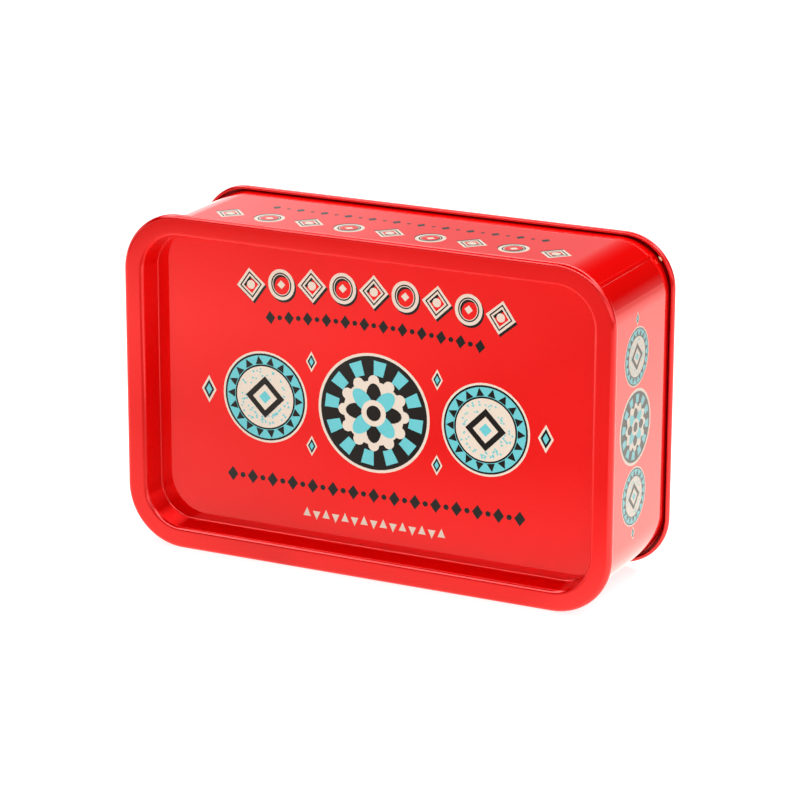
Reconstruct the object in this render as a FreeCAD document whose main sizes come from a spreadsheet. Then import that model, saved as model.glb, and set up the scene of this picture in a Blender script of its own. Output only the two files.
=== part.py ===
# A flat tin box that stands on its long side: a printed wall, a pressed plug lid
# that faces -Y and a seamed base at +Y. Millimetres, +Z up. The origin is under
# the middle of the tin, on the surface that it stands on.
import FreeCAD, Part
import math
import os
import Sketcher

document = FreeCAD.newDocument("StorageTin")

# --- driving dimensions -------------------------------------------------------
dimensions = [
    ("tinWidth", 115.0, "outside width of the lid's border"),
    ("tinHeight", 75.0, "outside height of the lid's border"),
    ("tinDepth", 35.0, "from the face of the lid to the back of the base rim"),
    ("lidCorner", 13.3, "corner radius of the lid's border"),
    ("borderWidth", 4.7, "flat border round the lid's recess"),
    ("lidEdgeThick", 2.2, "thickness of the lid's rolled edge"),
    ("lidEdgeRound", 0.8, "rounding of the lid's rolled edge"),
    ("recessDepth", 6.0, "depth of the lid's recess"),
    ("recessLean", 4.0, "lean of the recess wall, in degrees"),
    ("lipRound", 0.6, "rounding where the border turns into the recess"),
    ("panelRound", 0.5, "rounding where the recess wall meets the panel"),
    ("lidSheet", 0.6, "thickness of the lid's sheet round the recess"),
    ("lidOverhang", 1.8, "how far the lid's border stands past the wall"),
    ("plugGap", 0.15, "clearance between the lid's plug and the wall"),
    ("rimProud", 1.1, "how far the base rim stands past the wall"),
    ("rimThick", 1.8, "thickness of the base rim"),
    ("rimRound", 0.7, "rounding of the base rim"),
    ("chimeWidth", 3.0, "width of the base rim round the base panel"),
    ("basePanelDepth", 1.0, "how deep the base panel lies in its rim"),
    ("basePanelRound", 0.35, "rounding at the edges of the base panel"),
    ("seamTurn", 45.0, "place of the side seam round the corner, in degrees"),
    ("seamWidth", 1.6, "width of the side seam"),
    ("seamRise", 0.12, "how far the side seam stands off the wall"),
    ("seamRoot", 1.0, "how deep the side seam is rooted in the wall"),
]

sheet = document.addObject("Spreadsheet::Sheet", "Dimensions")
for row, (alias, value, meaning) in enumerate(dimensions, start=1):
    sheet.set(f"A{row}", alias)
    sheet.set(f"B{row}", str(value))
    sheet.set(f"C{row}", meaning)
    sheet.setAlias(f"B{row}", alias)
document.recompute()

# --- sizes that follow from them ----------------------------------------------
border = {
    "width": "Dimensions.tinWidth",
    "height": "Dimensions.tinHeight",
    "corner": "Dimensions.lidCorner",
}


def inside(outline, margin):
    """The outline that runs inside another one, a margin away from it."""
    return {
        "width": f"({outline['width']} - 2 * {margin})",
        "height": f"({outline['height']} - 2 * {margin})",
        "corner": f"({outline['corner']} - {margin})",
    }


def outside(outline, margin):
    """The outline that runs round another one, a margin away from it."""
    return inside(outline, f"(-1 * {margin})")


wallOutline = inside(border, "Dimensions.lidOverhang")
rimOutline = outside(wallOutline, "Dimensions.rimProud")
basePanelOutline = inside(rimOutline, "Dimensions.chimeWidth")
lipOutline = inside(border, "Dimensions.borderWidth")
plugOutline = outside(lipOutline, "Dimensions.lidSheet")
socketOutline = outside(plugOutline, "Dimensions.plugGap")

plugLength = "(Dimensions.recessDepth + Dimensions.lidSheet - Dimensions.lidEdgeThick)"
wallLength = "(Dimensions.tinDepth - Dimensions.lidEdgeThick - Dimensions.rimThick)"


# --- sketches and features ----------------------------------------------------
def newBody(name, faceDepth):
    """A body whose sketch plane stands upright, that far behind the lid's face."""
    body = document.addObject("PartDesign::Body", name)
    body.Label = name
    body.setExpression(".Placement.Base.y", f"{faceDepth} - Dimensions.tinDepth / 2")
    body.setExpression(".Placement.Base.z", "Dimensions.tinHeight / 2")
    return body


def uprightSketch(body, name, offset="0"):
    """A sketch across the tin: its x is +X, its y is +Z and it faces -Y."""
    sketch = body.newObject("Sketcher::SketchObject", name)
    plane = [item for item in body.Origin.OriginFeatures if item.Role == "XZ_Plane"][0]
    sketch.AttachmentSupport = [(plane, "")]
    sketch.MapMode = "FlatFace"
    sketch.setExpression(".AttachmentOffset.Base.z", offset)
    return sketch


def bind(sketch, constraint, expression):
    """Adds a dimension to a sketch and ties it to the sheet."""
    index = sketch.addConstraint(constraint)
    sketch.setExpression(f"Constraints[{index}]", expression)


def drawRoundedRectangle(sketch, outline):
    """Four sides and four corner arcs, centred on the sketch's origin."""
    halfWidth, halfHeight, radius = 50.0, 30.0, 10.0
    x, y = halfWidth - radius, halfHeight - radius
    up = FreeCAD.Vector(0, 0, 1)
    corners = [(x, -y), (x, y), (-x, y), (-x, -y)]
    sides = [
        ((-x, -halfHeight), (x, -halfHeight)),
        ((halfWidth, -y), (halfWidth, y)),
        ((x, halfHeight), (-x, halfHeight)),
        ((-halfWidth, y), (-halfWidth, -y)),
    ]
    lines, arcs = [], []
    for turn, (side, corner) in enumerate(zip(sides, corners)):
        start, end = (FreeCAD.Vector(*point, 0) for point in side)
        lines.append(sketch.addGeometry(Part.LineSegment(start, end)))
        circle = Part.Circle(FreeCAD.Vector(*corner, 0), up, radius)
        startAngle = (turn - 1) * math.pi / 2
        arc = Part.ArcOfCircle(circle, startAngle, startAngle + math.pi / 2)
        arcs.append(sketch.addGeometry(arc))
    for turn in range(4):
        sketch.addConstraint(Sketcher.Constraint("Tangent", lines[turn], 2, arcs[turn], 1))
        following = lines[(turn + 1) % 4]
        sketch.addConstraint(Sketcher.Constraint("Tangent", arcs[turn], 2, following, 1))
        direction = "Horizontal" if turn % 2 == 0 else "Vertical"
        sketch.addConstraint(Sketcher.Constraint(direction, lines[turn]))
    for turn in range(1, 4):
        sketch.addConstraint(Sketcher.Constraint("Equal", arcs[0], arcs[turn]))
    bottom, right, top, left = lines
    halfWide = f"{outline['width']} / 2"
    halfTall = f"{outline['height']} / 2"
    bind(sketch, Sketcher.Constraint("Radius", arcs[0], radius), outline["corner"])
    bind(sketch, Sketcher.Constraint("DistanceX", -1, 1, right, 1, halfWidth), halfWide)
    bind(sketch, Sketcher.Constraint("DistanceX", left, 1, -1, 1, halfWidth), halfWide)
    bind(sketch, Sketcher.Constraint("DistanceY", -1, 1, top, 1, halfHeight), halfTall)
    bind(sketch, Sketcher.Constraint("DistanceY", bottom, 1, -1, 1, halfHeight), halfTall)


def pad(body, name, outline, length, offset="0", towardsBase=False):
    """Material of one outline, from its sketch plane towards the lid or the base."""
    sketch = uprightSketch(body, f"{name}Sketch", offset)
    drawRoundedRectangle(sketch, outline)
    feature = body.newObject("PartDesign::Pad", name)
    feature.Profile = sketch
    feature.Reversed = towardsBase
    feature.setExpression("Length", length)
    document.recompute()
    return feature


def pocket(body, name, outline, length, offset="0", towardsBase=True, lean=None):
    """A hollow of one outline, from its sketch plane towards the base or the lid."""
    before = body.Shape.Volume
    sketch = uprightSketch(body, f"{name}Sketch", offset)
    drawRoundedRectangle(sketch, outline)
    feature = body.newObject("PartDesign::Pocket", name)
    feature.Profile = sketch
    feature.Reversed = not towardsBase
    feature.setExpression("Length", length)
    if lean:
        feature.setExpression("TaperAngle", lean)
    document.recompute()
    if body.Shape.Volume >= before:
        raise ValueError(f"{name} cut nothing")
    return feature


def value(expression):
    """What an expression on the sheet comes to."""
    return float(sheet.evalExpression(expression))


def loopEdges(feature, depth, outline):
    """Names of the edges of a feature that follow one outline at one depth."""
    shape = feature.Shape
    far = value(depth)
    reach = value(outline["width"]) / 2
    for wire in shape.Wires:
        points = [vertex.Point for vertex in wire.Vertexes]
        flat = all(abs(point.y - far) < 0.001 for point in points)
        if flat and abs(max(point.x for point in points) - reach) < 0.001:
            break
    else:
        raise ValueError(f"{feature.Name} has no loop at that depth")
    names = []
    for number, edge in enumerate(shape.Edges, start=1):
        if any(edge.isSame(other) for other in wire.Edges):
            names.append(f"Edge{number}")
    return names


def roundLoops(body, name, loops, radius):
    """One fillet on several outlines of the body's last feature."""
    base = body.Tip
    edges = []
    for depth, outline in loops:
        edges += loopEdges(base, depth, outline)
    feature = body.newObject("PartDesign::Fillet", name)
    feature.Base = (base, edges)
    feature.setExpression("Radius", radius)
    document.recompute()
    return feature


# --- the lid: a rolled border, a plug and the recess pressed into it ----------
def makeLid():
    lid = newBody("lid", "Dimensions.lidEdgeThick")
    pad(lid, "LidBorder", border, "Dimensions.lidEdgeThick")
    pad(lid, "LidPlug", plugOutline, plugLength, towardsBase=True)
    face = "(-1 * Dimensions.lidEdgeThick)"
    roundLoops(lid, "LidEdge", [(face, border), ("0", border)], "Dimensions.lidEdgeRound")
    pocket(
        lid, "LidRecess", lipOutline, "Dimensions.recessDepth",
        offset="Dimensions.lidEdgeThick", lean="-1 * Dimensions.recessLean",
    )
    roundLoops(lid, "LidLip", [(face, lipOutline)], "Dimensions.lipRound")
    panelDepth = "(Dimensions.recessDepth - Dimensions.lidEdgeThick)"
    leaned = "(Dimensions.recessDepth * tan(Dimensions.recessLean * 1 deg))"
    roundLoops(
        lid, "LidPanel", [(panelDepth, inside(lipOutline, leaned))], "Dimensions.panelRound"
    )
    return lid


# --- the wall: the shut, filled body with its side seam -----------------------
def makeWall():
    wall = newBody("wall", "Dimensions.lidEdgeThick")
    pad(wall, "WallBand", wallOutline, wallLength, towardsBase=True)
    pocket(wall, "WallSocket", socketOutline, f"({plugLength} + Dimensions.plugGap)")
    addSeam(wall)
    return wall


def addSeam(wall):
    """The lap of the wall's sheet: a low strip along one rounded corner."""
    sketch = uprightSketch(wall, "SeamSketch")
    offset = sketch.AttachmentOffset
    offset.Rotation = FreeCAD.Rotation(FreeCAD.Vector(0, 0, 1), value("Dimensions.seamTurn"))
    sketch.AttachmentOffset = offset
    corner = wallOutline["corner"]
    across = f"{wallOutline['width']} / 2 - {corner}"
    upward = f"{wallOutline['height']} / 2 - {corner}"
    sketch.setExpression(".AttachmentOffset.Base.x", across)
    sketch.setExpression(".AttachmentOffset.Base.y", upward)
    sketch.setExpression(".AttachmentOffset.Rotation.Angle", "Dimensions.seamTurn * 1 deg")
    points = [(10, -1), (12, -1), (12, 1), (10, 1)]
    points = [FreeCAD.Vector(x, y, 0) for x, y in points]
    for start, end in zip(points, points[1:] + points[:1]):
        sketch.addGeometry(Part.LineSegment(start, end))
    lower, outer, upper, inner = range(4)
    for line in range(4):
        sketch.addConstraint(Sketcher.Constraint("Coincident", line, 2, (line + 1) % 4, 1))
    for line, direction in enumerate(["Horizontal", "Vertical", "Horizontal", "Vertical"]):
        sketch.addConstraint(Sketcher.Constraint(direction, line))
    halfSeam = "Dimensions.seamWidth / 2"
    root = f"{corner} - Dimensions.seamRoot"
    crest = f"{corner} + Dimensions.seamRise"
    bind(sketch, Sketcher.Constraint("DistanceX", -1, 1, inner, 1, 10), root)
    bind(sketch, Sketcher.Constraint("DistanceX", -1, 1, outer, 1, 12), crest)
    bind(sketch, Sketcher.Constraint("DistanceY", -1, 1, upper, 1, 1), halfSeam)
    bind(sketch, Sketcher.Constraint("DistanceY", lower, 1, -1, 1, 1), halfSeam)
    seam = wall.newObject("PartDesign::Pad", "Seam")
    seam.Profile = sketch
    seam.Reversed = True
    seam.setExpression("Length", wallLength)
    document.recompute()


# --- the base: a proud rim with the base panel set into its back --------------
def makeBase():
    base = newBody("base", "(Dimensions.tinDepth - Dimensions.rimThick)")
    pad(base, "BaseRim", rimOutline, "Dimensions.rimThick", towardsBase=True)
    back = "Dimensions.rimThick"
    roundLoops(base, "RimEdge", [("0", rimOutline), (back, rimOutline)], "Dimensions.rimRound")
    pocket(
        base, "BasePanel", basePanelOutline, "Dimensions.basePanelDepth",
        offset="-1 * Dimensions.rimThick", towardsBase=False,
    )
    panelDepth = "(Dimensions.rimThick - Dimensions.basePanelDepth)"
    loops = [(back, basePanelOutline), (panelDepth, basePanelOutline)]
    roundLoops(base, "BasePanelEdge", loops, "Dimensions.basePanelRound")
    return base


# --- build, check and write ---------------------------------------------------
subParts = [makeLid(), makeWall(), makeBase()]
document.recompute()

for item in document.Objects:
    if "Invalid" in item.State or "Error" in item.State:
        raise ValueError(f"{item.Name} failed: {item.State}")
for subPart in subParts:
    if subPart.Shape.isNull() or not subPart.Shape.isValid():
        raise ValueError(f"{subPart.Label} has no valid shape")
    if len(subPart.Shape.Solids) != 1:
        raise ValueError(f"{subPart.Label} isn't one solid")

os.makedirs("parts", exist_ok=True)
for subPart in subParts:
    subPart.Shape.exportStep(os.path.join("parts", f"{subPart.Label}.step"))
    box = subPart.Shape.BoundBox
    print(
        f"{subPart.Label}: {box.XLength:.2f} x {box.YLength:.2f} x {box.ZLength:.2f} mm,",
        f"from y {box.YMin:.2f} and z {box.ZMin:.2f}, {subPart.Shape.Volume:.0f} mm3",
    )
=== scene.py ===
# A flat red tin box on a white studio floor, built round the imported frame.
import bpy
import bmesh
import math
import random
from mathutils import Matrix, Vector


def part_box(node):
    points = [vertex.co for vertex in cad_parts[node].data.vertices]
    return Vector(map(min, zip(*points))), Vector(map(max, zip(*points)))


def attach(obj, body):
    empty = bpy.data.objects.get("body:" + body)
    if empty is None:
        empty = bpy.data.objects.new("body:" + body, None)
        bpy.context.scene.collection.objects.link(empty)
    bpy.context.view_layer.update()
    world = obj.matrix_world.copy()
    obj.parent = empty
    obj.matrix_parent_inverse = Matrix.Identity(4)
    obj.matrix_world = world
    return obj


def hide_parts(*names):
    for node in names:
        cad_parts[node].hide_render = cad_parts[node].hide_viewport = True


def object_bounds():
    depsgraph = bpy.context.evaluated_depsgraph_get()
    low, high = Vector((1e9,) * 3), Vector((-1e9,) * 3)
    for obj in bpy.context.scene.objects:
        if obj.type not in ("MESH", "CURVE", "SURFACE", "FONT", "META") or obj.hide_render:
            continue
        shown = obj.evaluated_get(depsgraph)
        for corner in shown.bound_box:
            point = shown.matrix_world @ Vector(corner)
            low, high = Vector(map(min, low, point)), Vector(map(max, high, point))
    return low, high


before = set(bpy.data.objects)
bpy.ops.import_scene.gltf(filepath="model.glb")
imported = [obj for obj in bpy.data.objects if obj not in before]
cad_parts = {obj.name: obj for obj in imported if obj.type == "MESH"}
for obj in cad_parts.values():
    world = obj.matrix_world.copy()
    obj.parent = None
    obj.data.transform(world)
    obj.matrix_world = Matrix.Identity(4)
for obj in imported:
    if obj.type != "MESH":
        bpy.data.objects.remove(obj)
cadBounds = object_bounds()
print("frame loaded")

mm = 0.001
lidLow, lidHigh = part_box("lid")
wallLow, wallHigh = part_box("wall")
baseLow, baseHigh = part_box("base")
tinCentre = (cadBounds[0][2] + cadBounds[1][2]) / 2    # height of the tin's axis


# helpers for node materials

noiseSpan = (0.3, 0.7)    # nearly all of a noise lies between these


def newMaterial(name):
    material = bpy.data.materials.new(name)
    material.use_nodes = True
    tree = material.node_tree
    tree.nodes.clear()
    return material, tree


def addNode(tree, kind, **settings):
    node = tree.nodes.new(kind)
    for key, value in settings.items():
        setattr(node, key, value)
    return node


def noise(tree, scale, detail):
    place = addNode(tree, "ShaderNodeTexCoord")
    texture = addNode(tree, "ShaderNodeTexNoise")
    texture.inputs["Scale"].default_value = scale
    texture.inputs["Detail"].default_value = detail
    tree.links.new(place.outputs["Object"], texture.inputs["Vector"])
    return texture.outputs["Fac"]


def ramp(tree, source, strength, start, full, least=0.0):
    # goes from the least to the strength while the source goes from start to full
    node = addNode(tree, "ShaderNodeMapRange")
    node.inputs["From Min"].default_value = start
    node.inputs["From Max"].default_value = full
    node.inputs["To Min"].default_value = least
    node.inputs["To Max"].default_value = strength
    tree.links.new(source, node.inputs["Value"])
    return node.outputs["Result"]


def spread(tree, source, low=0, high=1):
    # draws a noise out over a whole span
    return ramp(tree, source, high, *noiseSpan, least=low)


def blendColours(tree, factor, first, second):
    node = addNode(tree, "ShaderNodeMix", data_type="RGBA")
    node.inputs["A"].default_value = (*first, 1)
    node.inputs["B"].default_value = (*second, 1)
    tree.links.new(factor, node.inputs["Factor"])
    return node.outputs["Result"]


def bump(tree, *layers):
    # each layer is a height and the distance that it stands for
    below = None
    for height, distance in layers:
        node = addNode(tree, "ShaderNodeBump")
        node.inputs["Distance"].default_value = distance
        tree.links.new(height, node.inputs["Height"])
        if below is not None:
            tree.links.new(below, node.inputs["Normal"])
        below = node.outputs["Normal"]
    return below


# finishes: each noise is given by its scale, per metre, and its detail

lacquerLook = {
    "red": (0.95, 0.0025, 0.0018),
    "redDeep": (0.89, 0.0018, 0.0014),
    "cloud": (30, 3.0),       # between the two reds
    "metal": 0.34,            # how much of the tinplate shines through the lacquer
    "roughness": (0.06, 0.10),
    "wear": (120, 4.0),       # between the two roughnesses
    "coat": 1.0,
    "coatRoughness": 0.03,
    "ior": 1.5,
    "peel": (900, 1.0),       # fine orange peel of the varnish
    "peelHeight": 0.003 * mm,
    "swell": (45, 1.0),       # slow waves of the sheet
    "swellHeight": 0.05 * mm,
}


def varnish(tree, colour, metal, roughness, normal, coat):
    # the sheet's own colour under the clear coat of the whole tin
    look = lacquerLook
    shader = addNode(tree, "ShaderNodeBsdfPrincipled")
    output = addNode(tree, "ShaderNodeOutputMaterial")
    shader.inputs["Metallic"].default_value = metal
    shader.inputs["Specular IOR Level"].default_value = 0.0    # the coat alone is glossy
    shader.inputs["Coat Weight"].default_value = coat
    shader.inputs["Coat Roughness"].default_value = look["coatRoughness"]
    shader.inputs["Coat IOR"].default_value = look["ior"]
    tree.links.new(colour, shader.inputs["Base Color"])
    tree.links.new(roughness, shader.inputs["Roughness"])
    tree.links.new(normal, shader.inputs["Normal"])
    tree.links.new(normal, shader.inputs["Coat Normal"])
    tree.links.new(shader.outputs["BSDF"], output.inputs["Surface"])


def makeLacquer():
    look = lacquerLook
    material, tree = newMaterial("redLacquer")
    cloud = spread(tree, noise(tree, *look["cloud"]))
    colour = blendColours(tree, cloud, look["red"], look["redDeep"])
    roughness = spread(tree, noise(tree, *look["wear"]), *look["roughness"])
    swell = noise(tree, *look["swell"])
    peel = noise(tree, *look["peel"])
    normal = bump(tree, (swell, look["swellHeight"]), (peel, look["peelHeight"]))
    varnish(tree, colour, look["metal"], roughness, normal, look["coat"])
    return material


inkColours = {
    "creamInk": {"light": (0.69, 0.59, 0.49), "dark": (0.645, 0.545, 0.445)},
    "blackInk": {"light": (0.011, 0.006, 0.005), "dark": (0.007, 0.0035, 0.003)},
    "blueInk": {"light": (0.136, 0.51, 0.54), "dark": (0.112, 0.47, 0.50)},
}

inkLook = {
    "grain": (2600, 2.0),     # between the light and the dark of an ink
    "grainHeight": 0.002 * mm,
    "roughness": (0.22, 0.30),
    "wear": (400, 3.0),
}


def makeInk(name):
    look, colours = inkLook, inkColours[name]
    material, tree = newMaterial(name)
    grain = noise(tree, *look["grain"])
    colour = blendColours(tree, spread(tree, grain), colours["light"], colours["dark"])
    roughness = spread(tree, noise(tree, *look["wear"]), *look["roughness"])
    swell = noise(tree, *lacquerLook["swell"])
    normal = bump(tree, (swell, lacquerLook["swellHeight"]), (grain, look["grainHeight"]))
    varnish(tree, colour, 0.0, roughness, normal, lacquerLook["coat"])
    return material


# painted shade: the groove between the wall and the rim gets a deeper, duller red that stands in
# for the shade falling in it
grooveShadeLook = {
    "colour": (0.44, 0.0022, 0.0018),    # painted shade: a deeper red laid in the groove beside the rim, under the lacquer
    "pale": (0.54, 0.0027, 0.0022),
    "cloud": (700, 3.0),
    "cloudHeight": 0.003 * mm,
    "roughness": (0.40, 0.55),
    "wear": (900, 2.0),
    "coat": 0.25,
}


# the finish of the painted shade in the groove
def makeGrooveShade():
    look = grooveShadeLook
    material, tree = newMaterial("paintedGrooveShade")
    cloud = noise(tree, *look["cloud"])
    colour = blendColours(tree, spread(tree, cloud), look["colour"], look["pale"])
    roughness = spread(tree, noise(tree, *look["wear"]), *look["roughness"])
    normal = bump(tree, (cloud, look["cloudHeight"]))
    varnish(tree, colour, 0.0, roughness, normal, look["coat"])
    return material


redLacquer = makeLacquer()
paintedGrooveShade = makeGrooveShade()
inks = {name: makeInk(name) for name in inkColours}
print("finishes made")


# helpers for meshes

weldDistance = 0.0001 * mm
sharpAngle = math.radians(40)


def newest(made, kind):
    # what an operator made, of one kind
    return [item for item in made["geom"] if isinstance(item, kind)]


def finishPiece(bm, name, materials, smooth=True):
    bmesh.ops.remove_doubles(bm, verts=bm.verts, dist=weldDistance)
    bmesh.ops.recalc_face_normals(bm, faces=bm.faces)
    mesh = bpy.data.meshes.new(name)
    bm.to_mesh(mesh)
    bm.free()
    for material in materials:
        mesh.materials.append(material)
    piece = bpy.data.objects.new(name, mesh)
    bpy.context.scene.collection.objects.link(piece)
    for polygon in mesh.polygons:
        polygon.use_smooth = smooth
    mesh.set_sharp_from_angle(angle=sharpAngle)
    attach(piece, "root")
    return piece


def evenNormals(piece):
    # keeps the flat faces flat where they run into a rounding
    modifier = piece.modifiers.new("evenNormals", "WEIGHTED_NORMAL")
    modifier.mode = "FACE_AREA"
    modifier.keep_sharp = True


def roundedPlate(bm, low, high, depth, corner, cornerSteps):
    # a plate with rounded corners that fills a node's box across the tin, at one depth
    width, height = high[0] - low[0], high[2] - low[2]
    corners = bmesh.ops.create_grid(bm, x_segments=1, y_segments=1, size=0.5)["verts"]
    bmesh.ops.scale(bm, vec=(width, height, 1), verts=corners)
    bmesh.ops.rotate(bm, matrix=Matrix.Rotation(math.pi / 2, 3, "X"), verts=corners)
    bmesh.ops.translate(bm, vec=(0, depth, tinCentre), verts=corners)
    bmesh.ops.bevel(
        bm, geom=corners, offset=corner, offset_type="OFFSET", segments=cornerSteps,
        profile=0.5, affect="VERTICES", material=-1,
    )
    return max(bm.faces, key=lambda face: len(face.verts))


def extrudeFace(bm, face, depth):
    # pulls one face out along the tin's depth and closes the sides
    made = bmesh.ops.extrude_face_region(bm, geom=[face])
    bmesh.ops.translate(bm, vec=(0, depth, 0), verts=newest(made, bmesh.types.BMVert))
    return newest(made, bmesh.types.BMFace)[0]


def otherEnd(bm, end):
    # the rounded face at the far side of a plate that has just been extruded
    return [face for face in bm.faces if len(face.verts) > 4 and face is not end][0]


def insetFace(bm, face, margin, rise):
    # steps one face inwards by a margin, and out (or in) along its normal
    bmesh.ops.recalc_face_normals(bm, faces=bm.faces)
    bmesh.ops.inset_region(
        bm, faces=[face], thickness=margin, depth=rise,
        use_boundary=True, use_even_offset=True,
    )


def roundEdges(bm, edges, radius, steps):
    bmesh.ops.bevel(
        bm, geom=edges, offset=radius, offset_type="OFFSET", segments=steps,
        profile=0.5, affect="EDGES", material=-1, clamp_overlap=True,
    )


# the lid: rolled border, steep recess wall, sunken panel

lidShape = {
    "corner": 13.3 * mm,
    "cornerSteps": 24,
    "border": 4.7 * mm,
    "edgeThick": 2.2 * mm,
    "edgeRound": (1.05 * mm, 9),    # a radius and its steps, as in every rounding
    "recess": 6.0 * mm,
    "lean": 0.42 * mm,
    "lipRound": (0.9 * mm, 6),
    "panelRound": (0.24 * mm, 5),
    "sheet": 0.6 * mm,
}


def makeLid():
    shape = lidShape
    seat = lidLow[1] + shape["edgeThick"]
    bm = bmesh.new()
    plate = roundedPlate(bm, lidLow, lidHigh, seat, shape["corner"], shape["cornerSteps"])
    front = extrudeFace(bm, plate, -shape["edgeThick"])
    back = otherEnd(bm, front)
    edgeLoops = list(front.edges) + list(back.edges)
    insetFace(bm, back, shape["border"] - shape["sheet"], 0)
    insetFace(bm, back, 0, lidHigh[1] - seat)    # the plug that fits in the wall
    insetFace(bm, front, shape["border"], 0)
    lipLoop = list(front.edges)
    insetFace(bm, front, shape["lean"], -shape["recess"])
    panelLoop = list(front.edges)
    roundEdges(bm, panelLoop, *shape["panelRound"])
    roundEdges(bm, lipLoop, *shape["lipRound"])
    roundEdges(bm, edgeLoops, *shape["edgeRound"])
    lid = finishPiece(bm, "pressedLid", [redLacquer])
    evenNormals(lid)
    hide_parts("lid")


# the wall: the band with rounded corners and its lapped side seam

wallShape = {
    "corner": 11.5 * mm,
    "cornerSteps": 32,
    "seamTurn": math.radians(47),
    "seamWidth": 0.9 * mm,
    "seamRise": 0.13 * mm,
    "seamRoot": 0.8 * mm,
    "seamRound": (0.10 * mm, 3),
    "seamTilt": math.radians(9),    # one side of the lap runs flush
    "mouthEdge": 2.1 * mm,          # the open mouth that takes the lid's plug
    "mouthGap": 0.1 * mm,
}


def addSeam(bm):
    # the lap, a thin strip sunk in the band at its upper right corner
    shape = wallShape
    length = wallHigh[1] - wallLow[1]
    thickness = shape["seamRoot"] + shape["seamRise"]
    seam = bmesh.ops.create_cube(bm, size=1)["verts"]
    bmesh.ops.scale(bm, vec=(thickness, length, shape["seamWidth"]), verts=seam)
    edges = [edge for edge in bm.edges if edge.verts[0] in seam and edge.verts[1] in seam]
    roundEdges(bm, edges, *shape["seamRound"])
    seam = [vert for vert in bm.verts if abs(vert.co.z) < shape["seamWidth"]]
    bmesh.ops.rotate(bm, matrix=Matrix.Rotation(shape["seamTilt"], 3, "Y"), verts=seam)
    middle = shape["corner"] + shape["seamRise"] - thickness / 2
    bmesh.ops.translate(bm, vec=(middle, 0, 0), verts=seam)
    bmesh.ops.rotate(bm, matrix=Matrix.Rotation(-shape["seamTurn"], 3, "Y"), verts=seam)
    cornerCentre = (
        wallHigh[0] - shape["corner"],
        (wallLow[1] + wallHigh[1]) / 2,
        wallHigh[2] - shape["corner"],
    )
    bmesh.ops.translate(bm, vec=cornerCentre, verts=seam)


def makeWall():
    shape = wallShape
    bm = bmesh.new()
    plate = roundedPlate(
        bm, wallLow, wallHigh, wallLow[1], shape["corner"], shape["cornerSteps"]
    )
    extrudeFace(bm, plate, wallHigh[1] - wallLow[1])
    mouth = min(bm.faces, key=lambda face: face.calc_center_median().y)
    insetFace(bm, mouth, shape["mouthEdge"], 0)
    insetFace(bm, mouth, 0, wallLow[1] - lidHigh[1] - shape["mouthGap"])
    addSeam(bm)
    wall = finishPiece(bm, "printedWall", [redLacquer])
    evenNormals(wall)
    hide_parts("wall")


# the base: the proud rolled rim and the panel behind

baseShape = {
    "corner": 11.6 * mm,
    "cornerSteps": 24,
    "frontRound": (0.62 * mm, 6),
    "backRound": (1.1 * mm, 6),
    "bead": 0.75 * mm,              # what stands over the groove beside the wall
    "beadRound": (0.08 * mm, 3),
    "grooveDepth": 1.35 * mm,
    "grooveFloor": 0.70 * mm,
    "chime": 3.0 * mm,
    "panelDepth": 1.0 * mm,
    "panelRound": (0.35 * mm, 4),
}


def makeBase():
    shape = baseShape
    bm = bmesh.new()
    plate = roundedPlate(
        bm, baseLow, baseHigh, baseLow[1], shape["corner"], shape["cornerSteps"]
    )
    back = extrudeFace(bm, plate, baseHigh[1] - baseLow[1])
    front = otherEnd(bm, back)
    frontLoop, backLoop = list(front.edges), list(back.edges)
    insetFace(bm, front, shape["bead"], 0)
    beadLoop = list(front.edges)
    before = set(bm.faces)
    insetFace(bm, front, 0, -shape["grooveDepth"])
    insetFace(bm, front, shape["grooveFloor"], 0)
    insetFace(bm, front, 0, shape["grooveDepth"])
    for face in set(bm.faces) - before - {front}:
        face.material_index = 1    # the groove is lined with the deeper red of painted shade
    insetFace(bm, back, shape["chime"], 0)
    chimeLoop = list(back.edges)
    insetFace(bm, back, 0, -shape["panelDepth"])
    panelLoop = list(back.edges)
    roundEdges(bm, panelLoop, *shape["panelRound"])
    roundEdges(bm, chimeLoop, *shape["panelRound"])
    roundEdges(bm, beadLoop, *shape["beadRound"])
    roundEdges(bm, frontLoop, *shape["frontRound"])
    roundEdges(bm, backLoop, *shape["backRound"])
    base = finishPiece(bm, "rolledBase", [redLacquer, paintedGrooveShade])
    evenNormals(base)
    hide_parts("base")


# the bare end of the lap, where it runs in under the rim

lapEnd = {
    "size": (1.2 * mm, 0.8 * mm, 0.5 * mm),    # along the rim, in depth, outwards
    "turn": math.radians(50.5),                # just below the lap
    "proud": 0.55 * mm,
    "under": 0.1 * mm,
    "metal": 0.4,
    "colour": (0.92, 0.74, 0.46),
    "dull": (0.60, 0.40, 0.20),
    "cloud": (2200, 3.0),
    "roughness": (0.28, 0.5),
    "wear": (3000, 2.0),
    "dents": (2600, 3.0),
    "dentHeight": 0.03 * mm,
    "coat": 0.3,
}


def makeBareTinplate():
    look = lapEnd
    material, tree = newMaterial("bareTinplate")
    cloud = spread(tree, noise(tree, *look["cloud"]))
    colour = blendColours(tree, cloud, look["colour"], look["dull"])
    roughness = spread(tree, noise(tree, *look["wear"]), *look["roughness"])
    normal = bump(tree, (noise(tree, *look["dents"]), look["dentHeight"]))
    varnish(tree, colour, look["metal"], roughness, normal, look["coat"])
    return material


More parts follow.
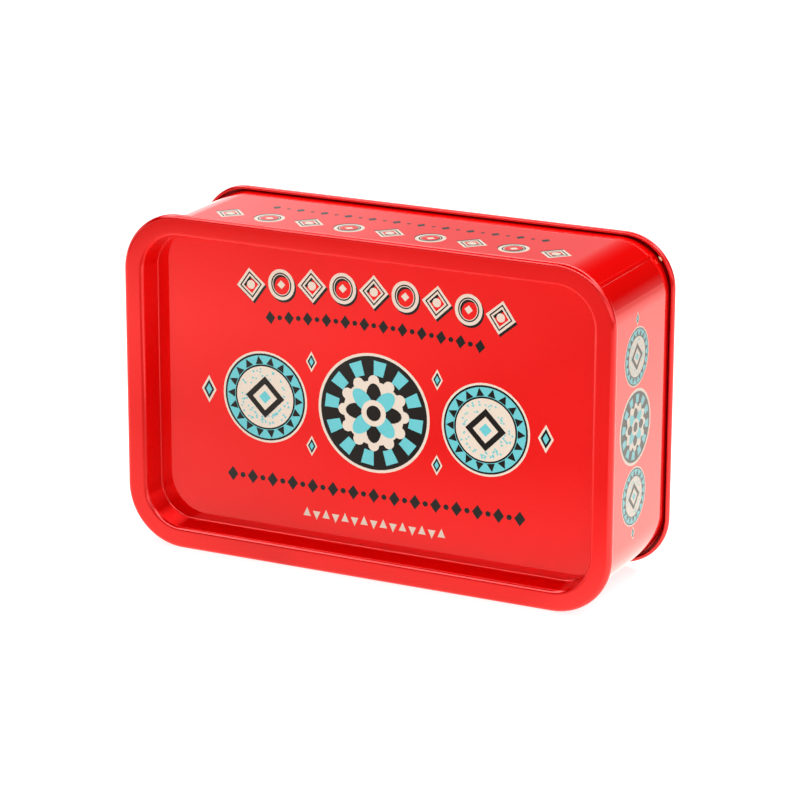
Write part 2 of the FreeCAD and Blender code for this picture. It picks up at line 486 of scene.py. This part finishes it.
def makeLapEnd():
    shape = lapEnd
    turn, reach = shape["turn"], wallShape["corner"] + shape["proud"]
    bm = bmesh.new()
    bmesh.ops.create_icosphere(bm, subdivisions=3, radius=0.5)
    bmesh.ops.scale(bm, vec=shape["size"], verts=bm.verts)
    bmesh.ops.rotate(bm, matrix=Matrix.Rotation(turn, 3, "Y"), verts=bm.verts)
    centre = (
        wallHigh[0] - wallShape["corner"] + reach * math.sin(turn),
        wallHigh[1] + shape["under"],
        wallHigh[2] - wallShape["corner"] + reach * math.cos(turn),
    )
    bmesh.ops.translate(bm, vec=centre, verts=bm.verts)
    finishPiece(bm, "lapEnd", [makeBareTinplate()])


makeLid()
makeWall()
makeBase()
makeLapEnd()
print("tin made")


# the print: flat shapes of ink pressed on the sheet, one layer over another

inkLayer = 0.008 * mm    # each layer stands this far over the one below
inkBite = 0.005 * mm     # and every shape reaches this far into the sheet
lidPanel = lidLow[1] + lidShape["recess"]


def makeBoard(middle, across, up):
    # a flat side of the tin: shapes are drawn on it across and up, in millimetres
    across, up = Vector(across), Vector(up)
    board = Matrix((across, up, across.cross(up))).transposed().to_4x4()
    board.translation = Vector(middle)
    return board


boards = {
    "lid": makeBoard((0, lidPanel, tinCentre), (1, 0, 0), (0, 0, 1)),
    "top": makeBoard((0, lidLow[1], wallHigh[2]), (-1, 0, 0), (0, -1, 0)),
    "bottom": makeBoard((0, lidLow[1], wallLow[2]), (1, 0, 0), (0, -1, 0)),
    "right": makeBoard((wallHigh[0], lidLow[1], tinCentre), (0, 0, 1), (0, -1, 0)),
    "left": makeBoard((wallLow[0], lidLow[1], tinCentre), (0, 0, -1), (0, -1, 0)),
}


def newSheets():
    return {name: bmesh.new() for name in inks}


def finishSheets(sheets, host):
    for name, sheet in sheets.items():
        title = host + name[0].upper() + name[1:]
        finishPiece(sheet, title, [inks[name]], smooth=False)


def press(sheet, board, layer, shape, at=(0, 0), turn=0):
    # gives a flat shape its thin body, lays it on the board and adds it to an ink's sheet
    bmesh.ops.rotate(shape, matrix=Matrix.Rotation(turn, 3, "Z"), verts=shape.verts)
    bmesh.ops.translate(shape, vec=(*at, 0), verts=shape.verts)
    bmesh.ops.scale(shape, vec=(mm, mm, mm), verts=shape.verts)
    bottom = shape.verts[:]
    made = bmesh.ops.extrude_face_region(shape, geom=shape.faces[:])
    top = newest(made, bmesh.types.BMVert)
    bmesh.ops.translate(shape, vec=(0, 0, layer * inkLayer), verts=top)
    bmesh.ops.translate(shape, vec=(0, 0, -inkBite), verts=bottom)
    bmesh.ops.transform(shape, matrix=board, verts=shape.verts)
    spare = bpy.data.meshes.new("spare")
    shape.to_mesh(spare)
    shape.free()
    sheet.from_mesh(spare)
    bpy.data.meshes.remove(spare)


# the flat shapes

lozengeSides, triangleSides = 4, 3


def disc(width, height, sides, fan=False):
    # a disc or an ellipse, and with few sides a lozenge or a triangle
    shape = bmesh.new()
    bmesh.ops.create_circle(shape, cap_ends=True, cap_tris=fan, radius=0.5, segments=sides)
    bmesh.ops.scale(shape, vec=(width, height, 1), verts=shape.verts)
    return shape


def ring(width, height, line, sides):
    # the outline of a disc or a lozenge
    shape = disc(width, height, sides)
    face = shape.faces[:][0]
    bmesh.ops.inset_region(
        shape, faces=[face], thickness=line, use_boundary=True, use_even_offset=True,
    )
    bmesh.ops.delete(shape, geom=[face], context="FACES_ONLY")
    return shape


def rays(size, count, start):
    # every other wedge of a disc, from a little way out
    shape = disc(size, size, count * 2, fan=True)
    middle = min(shape.verts, key=lambda vert: vert.co.length)
    bmesh.ops.bevel(
        shape, geom=[middle], affect="VERTICES", offset=start * size / 2,
        segments=1, profile=0.5, material=-1,
    )
    hub = max(shape.faces, key=lambda face: len(face.verts))
    bmesh.ops.delete(shape, geom=[hub], context="FACES")

    def around(face):
        centre = face.calc_center_median()
        return math.atan2(centre.y, centre.x)

    wedges = sorted(shape.faces, key=around)
    bmesh.ops.delete(shape, geom=wedges[::2], context="FACES")
    return shape


def pressDisc(sheet, board, layer, radius, sides, at):
    press(sheet, board, layer, disc(2 * radius, 2 * radius, sides), at)


def polar(at, radius, angle):
    return at[0] + radius * math.cos(angle), at[1] + radius * math.sin(angle)


def turnsOf(count):
    return [2 * math.pi * number / count for number in range(count)]


def alongRow(row):
    # the number, place and slope of each shape in a row, which may bend down at its ends
    for number in range(row["count"]):
        u = (number - (row["count"] - 1) / 2) * row["pitch"]
        v = row["level"] - row["arch"] * u * u
        yield number, (u, v), math.atan(-2 * row["arch"] * u)


# the ornaments: lines are in millimetres, and the other sizes are shares of the radius

rosette = {
    "outline": 0.62,
    "discSides": 64,
    "rays": 12,
    "rayReach": 0.93,             # a share of the disc inside the outline
    "rayStart": 0.3,              # a share of their reach
    "heart": 0.54,
    "heartRim": 1.18,             # a share of the heart
    "heartSides": 48,
    "lobes": 12,
    "lobe": 0.10,
    "lobeSides": 12,
    "petals": 8,
    "petal": (0.4464, 0.27),      # length and width
    "petalAt": 0.52,              # a share of the heart
    "petalSides": 16,
    "eye": 0.13,
    "eyeRim": 1.7,                # a share of the eye
    "eyeSides": 24,
}


def printRosette(sheets, board, at, radius):
    # a big round ornament: rays, a lobed heart and petals
    cream, black, blue = sheets["creamInk"], sheets["blackInk"], sheets["blueInk"]
    shape = rosette
    inner = radius - shape["outline"]
    pressDisc(cream, board, 1, radius, shape["discSides"], at)
    pressDisc(black, board, 2, inner, shape["discSides"], at)
    rayDisc = rays(2 * inner * shape["rayReach"], shape["rays"], shape["rayStart"])
    press(blue, board, 3, rayDisc, at)
    heart = radius * shape["heart"]
    pressDisc(black, board, 4, heart * shape["heartRim"], shape["heartSides"], at)
    pressDisc(cream, board, 5, heart, shape["heartSides"], at)
    for turn in turnsOf(shape["lobes"]):
        spot = polar(at, heart, turn)
        pressDisc(cream, board, 6, radius * shape["lobe"], shape["lobeSides"], spot)
    long, wide = (radius * share for share in shape["petal"])
    for number, turn in enumerate(turnsOf(shape["petals"])):
        ink, layer = ((black, 7), (blue, 8))[number % 2]
        spot = polar(at, heart * shape["petalAt"], turn)
        press(ink, board, layer, disc(long, wide, shape["petalSides"]), spot, turn)
    eye = radius * shape["eye"]
    pressDisc(cream, board, 9, eye * shape["eyeRim"], shape["eyeSides"], at)
    pressDisc(black, board, 10, eye, shape["eyeSides"], at)


roundel = {
    "radius": 10.6,               # the lines are for this radius, and grow with it
    "outline": 0.5,
    "darkLine": 0.45,
    "blueRing": 2.1,
    "fieldLine": 0.4,
    "ringSides": 56,
    "fieldSides": 48,
    "teeth": 18,
    "tooth": (0.86, 0.95),        # width and height, as shares of the pitch of the teeth
    "toothOut": 0.28,             # a share of the pitch too
    "flecks": 64,
    "fleck": 0.74,                # in millimetres, as the lines are
    "fleckSpan": (0.8, 1.2),
    "fleckReach": (0.60, 0.92),   # shares of the field
    "fleckLayer": (6.6, 7.4),     # so that no two flecks that meet are level
    "fleckTurn": (0, 6),          # in radians
    "lozenge": 0.46,
    "lozengeSteps": (1.0, 0.625, 0.31),    # shares of the lozenge, one inside another
}


def printRoundel(sheets, board, at, radius, luck):
    # a smaller round ornament: a toothed ring about a flecked field
    cream, black, blue = sheets["creamInk"], sheets["blackInk"], sheets["blueInk"]
    shape, grow = roundel, radius / roundel["radius"]
    pressDisc(cream, board, 1, radius, shape["ringSides"], at)
    edge = radius - shape["outline"] * grow
    pressDisc(black, board, 2, edge, shape["ringSides"], at)
    edge -= shape["darkLine"] * grow
    pressDisc(blue, board, 3, edge, shape["ringSides"], at)
    edge -= shape["blueRing"] * grow
    pitch = 2 * math.pi * edge / shape["teeth"]
    wide, tall = (pitch * share for share in shape["tooth"])
    for turn in turnsOf(shape["teeth"]):
        spot = polar(at, edge + shape["toothOut"] * pitch, turn)
        press(black, board, 4, disc(wide, tall, triangleSides), spot, turn - math.pi / 2)
    pressDisc(black, board, 5, edge, shape["fieldSides"], at)
    edge -= shape["fieldLine"] * grow
    pressDisc(cream, board, 6, edge, shape["fieldSides"], at)
    for _ in range(shape["flecks"]):
        reach = luck.uniform(*shape["fleckReach"]) * edge
        spot = polar(at, reach, luck.uniform(0, 2 * math.pi))
        size = shape["fleck"] * grow * luck.uniform(*shape["fleckSpan"])
        layer = luck.uniform(*shape["fleckLayer"])
        turn = luck.uniform(*shape["fleckTurn"])
        press(blue, board, layer, disc(size, size, triangleSides), spot, turn)
    middle = radius * shape["lozenge"]
    for layer, ink, share in zip((8, 9, 10), (black, cream, blue), shape["lozengeSteps"]):
        pressDisc(ink, board, layer, middle * share, lozengeSides, at)


lozengeShares = {"creamInk": 1.0, "blackInk": 0.7, "blueInk": 0.4}


def printLozenge(sheets, board, at, wide, tall):
    # a small lozenge of three inks, one inside another
    for layer, (name, share) in enumerate(lozengeShares.items(), start=1):
        press(sheets[name], board, layer, disc(wide * share, tall * share, lozengeSides), at)


# the rows: sizes are shares of a row's height

frieze = {
    "tall": 7.6,                  # the lines and the shadow are for this height, and grow with it
    "line": 1.25,
    "darkLine": 0.3,
    "darkAt": 0.62,               # how far in on the cream line it lies
    "shadow": (0.38, -0.48),
    "lozenge": (0.93, 1.0),
    "ring": (0.86, 0.92),
    "ringSides": 32,
    "seed": 0.26,
}


def printFrieze(sheets, board, row):
    # a row of open lozenges and rings in cream, each with a thin dark line and a shadow
    cream, black = sheets["creamInk"], sheets["blackInk"]
    look, tall = frieze, row["tall"]
    grow = tall / look["tall"]
    line, darkLine, seed = look["line"] * grow, look["darkLine"] * grow, look["seed"] * tall
    inset = 2 * look["darkAt"] * line
    kinds = (
        (look["lozenge"], lozengeSides, look["ringSides"]),    # with a round seed
        (look["ring"], look["ringSides"], lozengeSides),       # with a lozenge for a seed
    )
    for number, (u, v), slope in alongRow(row):
        shares, sides, seedSides = kinds[number % 2]
        wide, high = (tall * share for share in shares)
        under = (u + look["shadow"][0] * grow, v + look["shadow"][1] * grow)
        press(black, board, 1, ring(wide, high, line, sides), under, slope)
        press(cream, board, 2, ring(wide, high, line, sides), (u, v), slope)
        press(black, board, 3, ring(wide - inset, high - inset, darkLine, sides), (u, v), slope)
        press(cream, board, 2, disc(seed, seed, seedSides), (u, v), slope)


beads = {"lozenge": (0.78, 1.0), "dot": (0.38, 0.38), "dotSides": 12}


def printBeads(sheets, board, row):
    # a fine row of dark lozenges and dots
    kinds = ((beads["lozenge"], lozengeSides), (beads["dot"], beads["dotSides"]))
    for number, spot, slope in alongRow(row):
        shares, sides = kinds[number % 2]
        wide, high = (row["tall"] * share for share in shares)
        press(sheets["blackInk"], board, 1, disc(wide, high, sides), spot, slope)


def printTeeth(sheets, board, row):
    # a small row of cream triangles, up and down by turns
    for number, spot, slope in alongRow(row):
        tooth = disc(row["tall"] * row["wide"], row["tall"], triangleSides)
        press(sheets["creamInk"], board, 1, tooth, spot, slope + math.pi * (number % 2))


# the lid's print, in millimetres from the middle of the panel

lidPrint = {
    "frieze": {"count": 9, "pitch": 7.35, "level": 24.6, "tall": 7.4, "arch": 0.0022},
    "upperBeads": {"count": 23, "pitch": 2.25, "level": 17.3, "tall": 3.0, "arch": 0.0022},
    "lowerBeads": {"count": 29, "pitch": 2.45, "level": -20.4, "tall": 3.3, "arch": 0},
    "teeth": {"count": 15, "pitch": 2.3, "level": -26.7, "tall": 2.6, "wide": 0.8, "arch": 0},
    "level": -2.0,
    "rosette": 13.2,
    "roundel": 10.2,
    "roundelAt": 26.2,
    "spacer": (2.6, 4.6),
    "spacerAt": (14.9, 9.4),
    "end": (3.6, 6.2),
    "endAt": 40.0,
    "luck": 41,    # the seed of the flecks
}


def makeLidPrint():
    rows, board, sheets = lidPrint, boards["lid"], newSheets()
    luck, level = random.Random(rows["luck"]), rows["level"]
    printFrieze(sheets, board, rows["frieze"])
    printBeads(sheets, board, rows["upperBeads"])
    printBeads(sheets, board, rows["lowerBeads"])
    printTeeth(sheets, board, rows["teeth"])
    printRosette(sheets, board, (0, level), rows["rosette"])
    across, up = rows["spacerAt"]
    for side in (-1, 1):
        printRoundel(sheets, board, (side * rows["roundelAt"], level), rows["roundel"], luck)
        printLozenge(sheets, board, (side * rows["endAt"], level), *rows["end"])
        for height in (-1, 1):
            printLozenge(sheets, board, (side * across, level + height * up), *rows["spacer"])
    finishSheets(sheets, "lid")


# the wall's print, in millimetres, with its levels taken from the lid's face

wallPrint = {
    "frieze": {"count": 9, "pitch": 9.6, "level": -13.4, "tall": 7.6, "arch": 0},
    "beads": {"count": 23, "pitch": 2.9, "level": -22.6, "tall": 2.6, "arch": 0},
    "level": -16.2,
    "rosette": 8.2,
    "roundel": 6.4,
    "roundelAt": 15.2,
    "end": (3.0, 1.9),
    "endAt": 23.3,
    "luck": 42,    # the seed of the flecks
}


def makeWallPrint():
    rows, sheets = wallPrint, newSheets()
    luck, level = random.Random(rows["luck"]), rows["level"]
    for name in ("top", "bottom"):
        printFrieze(sheets, boards[name], rows["frieze"])
        printBeads(sheets, boards[name], rows["beads"])
    for name in ("right", "left"):
        board = boards[name]
        printRosette(sheets, board, (0, level), rows["rosette"])
        for side in (-1, 1):
            printRoundel(sheets, board, (side * rows["roundelAt"], level), rows["roundel"], luck)
            printLozenge(sheets, board, (side * rows["endAt"], level), *rows["end"])
    finishSheets(sheets, "wall")


makeLidPrint()
makeWallPrint()
print("print laid")


# helpers for the floor and the world

def combine(tree, operation, first, *others):
    # adds or multiplies sockets and numbers
    for other in others:
        node = addNode(tree, "ShaderNodeMath", operation=operation)
        for socket, value in zip(node.inputs, (first, other)):
            if isinstance(value, (int, float)):
                socket.default_value = value
            else:
                tree.links.new(value, socket)
        first = node.outputs[0]
    return first


def plateau(tree, source, stops):
    # rises over the first two stops and falls over the last two
    rising = ramp(tree, source, 1, stops[0], stops[1])
    return combine(tree, "MULTIPLY", rising, ramp(tree, source, 1, stops[3], stops[2]))


def glowing(tree, kind, strength, colour=(1, 1, 1)):
    node = addNode(tree, kind)
    node.inputs["Color"].default_value = (*colour, 1)
    tree.links.new(strength, node.inputs["Strength"])
    return node.outputs[0]


def choose(tree, asked, otherwise, chosen):
    # one surface for the rays that are asked for, and another for the rest
    node = addNode(tree, "ShaderNodeMixShader")
    for socket, value in zip(node.inputs, (asked, otherwise, chosen)):
        tree.links.new(value, socket)
    return node.outputs[0]


# the floor: white paper, lit more in some places than in others
# a ramp is given by its strength, where it starts and where it is full, in metres

floorLook = {
    "size": 6.0,
    "white": (0.42, 0.42, 0.42),
    "seen": 0.82,                         # what the paper adds for the camera, to stay white
    # how the lit paper in front throws light back up
    "bounce": (2.80, 0.02, -0.06),        # in y
    "bounceAcross": (-0.32, -0.04, 0.06, 0.21),    # from nothing to full and back, in x
    # what the gloss of the tin picks up from the paper
    "shine": 0.38,
    "shineNear": (0.60, -0.10, -0.02),    # in y
    "shineLeft": (0.95, -0.03, -0.17),    # in x
    "shineFar": (1.0, -0.28, -0.17),      # the left part again, in y
    "shineBehind": (1.00, 0.7, 0.06),     # behind the tin, in y
    "behindStart": (1.0, -0.30, -0.12),   # from beside it on, in y
    "behindSide": (1.0, 0.035, 0.07),     # and to its right, in x
    "behindFade": (-0.30, 0.04, 0.30),    # the even part falls away there too, in y
    "warmth": (1.0, 0.95, 0.87),
}


def makePaper():
    look = floorLook
    material, tree = newMaterial("whitePaper")
    place = addNode(tree, "ShaderNodeTexCoord")
    parts = addNode(tree, "ShaderNodeSeparateXYZ")
    ray = addNode(tree, "ShaderNodeLightPath").outputs
    tree.links.new(place.outputs["Object"], parts.inputs["Vector"])
    x, y, _ = parts.outputs

    def along(source, name):
        return ramp(tree, source, *look[name])

    left = combine(tree, "MULTIPLY", along(x, "shineLeft"), along(y, "shineFar"))
    behind = combine(
        tree, "MULTIPLY", along(y, "shineBehind"), along(y, "behindStart"), along(x, "behindSide")
    )
    shine = combine(
        tree, "ADD", along(y, "shineNear"), left, behind, along(y, "behindFade"), look["shine"]
    )
    bounce = combine(
        tree, "MULTIPLY", along(y, "bounce"), plateau(tree, x, look["bounceAcross"]),
        ray["Is Diffuse Ray"],
    )
    seen = combine(tree, "MULTIPLY", ray["Is Camera Ray"], look["seen"])
    added = glowing(tree, "ShaderNodeEmission", combine(tree, "ADD", bounce, seen))
    mirrored = glowing(tree, "ShaderNodeEmission", shine, look["warmth"])
    paper = addNode(tree, "ShaderNodeBsdfDiffuse")
    paper.inputs["Color"].default_value = (*look["white"], 1)
    both = addNode(tree, "ShaderNodeAddShader")
    output = addNode(tree, "ShaderNodeOutputMaterial")
    tree.links.new(paper.outputs[0], both.inputs[0])
    tree.links.new(added, both.inputs[1])
    surface = choose(tree, ray["Is Glossy Ray"], both.outputs[0], mirrored)
    tree.links.new(surface, output.inputs["Surface"])
    return material


def makeFloor():
    bm = bmesh.new()
    bmesh.ops.create_grid(bm, x_segments=1, y_segments=1, size=floorLook["size"] / 2)
    mesh = bpy.data.meshes.new("floor")
    bm.to_mesh(mesh)
    bm.free()
    mesh.materials.append(makePaper())
    floor = bpy.data.objects.new("floor", mesh)
    bpy.context.scene.collection.objects.link(floor)


# the world: soft light from all round, and bright places that only the gloss of the tin sees

worldLook = {
    "soft": (0.20, 1.02),        # the light of the room, at the horizon and overhead
    "softSide": (0.14, 1.52),    # the share of it from the right and from the left
    "dim": 0.012,                # what the gloss sees where no glow is
}

# each glow rises over the first two stops and falls over the last two, by direction in x and
# in y and by degrees up
anySide = (-1.2, -1.1, 1.1, 1.2)
fromBelow = (-90, -89)
glows = {
    "horizon": {
        "strength": 0.43, "x": (-1.2, -1.1, -0.34, -0.05), "y": (-0.4, 0.1, 1.1, 1.2),
        "up": (*fromBelow, 11, 32),
    },
    "leftHorizon": {
        "strength": 0.74, "x": (-1.2, -1.1, -0.52, -0.42), "y": (-0.4, 0.1, 1.1, 1.2),
        "up": (*fromBelow, 11, 32),
    },
    "rightHorizon": {
        "strength": 0.30, "x": (0.12, 0.32, 1.1, 1.2), "y": anySide, "up": (*fromBelow, -1, 9),
    },
    "front": {
        "strength": 0.70, "x": anySide, "y": (-1.2, -1.1, -0.4, -0.1), "up": (-5, 3, 13, 20),
    },
    "frontRight": {
        "strength": 1.0, "x": (0.40, 0.60, 1.1, 1.2), "y": (-1.2, -1.1, 0.25, 0.45),
        "up": (-5, 0, 40, 55),
    },
    "longLamp": {
        "strength": 4.4, "x": (-0.80, -0.62, 0.50, 0.80), "y": anySide, "up": (32, 44, 54, 64),
    },
}


def sines(angles):
    return [math.sin(math.radians(angle)) for angle in angles]


def makeWorld():
    look = worldLook
    world = bpy.data.worlds.new("studio")
    bpy.context.scene.world = world
    world.use_nodes = True
    tree = world.node_tree
    tree.nodes.clear()
    place = addNode(tree, "ShaderNodeTexCoord")
    parts = addNode(tree, "ShaderNodeSeparateXYZ")
    ray = addNode(tree, "ShaderNodeLightPath").outputs
    tree.links.new(place.outputs["Generated"], parts.inputs["Vector"])
    x, y, z = parts.outputs
    glare = look["dim"]
    for glow in glows.values():
        part = combine(
            tree, "MULTIPLY", plateau(tree, x, glow["x"]), plateau(tree, y, glow["y"]),
            plateau(tree, z, sines(glow["up"])), glow["strength"],
        )
        glare = combine(tree, "ADD", part, glare)
    low, high = look["soft"]
    least, most = look["softSide"]
    overhead, share = ramp(tree, z, high, 0, 1, low), ramp(tree, x, most, 1, -1, least)
    room = glowing(tree, "ShaderNodeBackground", combine(tree, "MULTIPLY", overhead, share))
    gloss = glowing(tree, "ShaderNodeBackground", glare)
    white = addNode(tree, "ShaderNodeBackground")
    white.inputs["Color"].default_value = (1, 1, 1, 1)
    white.inputs["Strength"].default_value = 1.0
    output = addNode(tree, "ShaderNodeOutputWorld")
    surface = choose(tree, ray["Is Glossy Ray"], room, gloss)
    surface = choose(tree, ray["Is Camera Ray"], surface, white.outputs[0])
    tree.links.new(surface, output.inputs["Surface"])


def pointAt(thing, place, aim):
    direction = Vector(aim) - Vector(place)
    thing.location = place
    thing.rotation_euler = direction.to_track_quat("-Z", "Y").to_euler()


# the lamp: a big square one behind the tin, above it and to its right

keyLamp = {"place": (0.36, 0.48, 1.04), "size": 1.1, "power": 21}    # metres and watts


def makeLamp():
    lamp = bpy.data.lights.new("keyBehind", "AREA")
    lamp.size = keyLamp["size"]
    lamp.energy = keyLamp["power"]
    holder = bpy.data.objects.new("keyBehind", lamp)
    bpy.context.scene.collection.objects.link(holder)
    holder.visible_glossy = False    # the gloss sees the world's own bright places
    pointAt(holder, keyLamp["place"], (0, 0, tinCentre))


cameraSetup = {
    "azimuth": math.radians(26.4),
    "elevation": math.radians(16.9),
    "roll": math.radians(0.16),
    "distance": 0.739,
    "lens": 157.8,
    "aim": (0.0071, -0.0133, 0.0398),
    "nearest": 0.01,
}


def makeCamera():
    setup = cameraSetup
    camera = bpy.data.cameras.new("camera")
    camera.lens = setup["lens"]
    camera.clip_start = setup["nearest"]
    holder = bpy.data.objects.new("camera", camera)
    bpy.context.scene.collection.objects.link(holder)
    turn, rise = setup["azimuth"], setup["elevation"]
    back = Vector((
        math.sin(turn) * math.cos(rise), -math.cos(turn) * math.cos(rise), math.sin(rise),
    ))
    pointAt(holder, Vector(setup["aim"]) + back * setup["distance"], setup["aim"])
    holder.rotation_euler.rotate_axis("Z", setup["roll"])
    bpy.context.scene.camera = holder


makeFloor()
makeWorld()
makeLamp()
makeCamera()
bpy.context.scene.view_settings.view_transform = "Standard"
print("studio made")
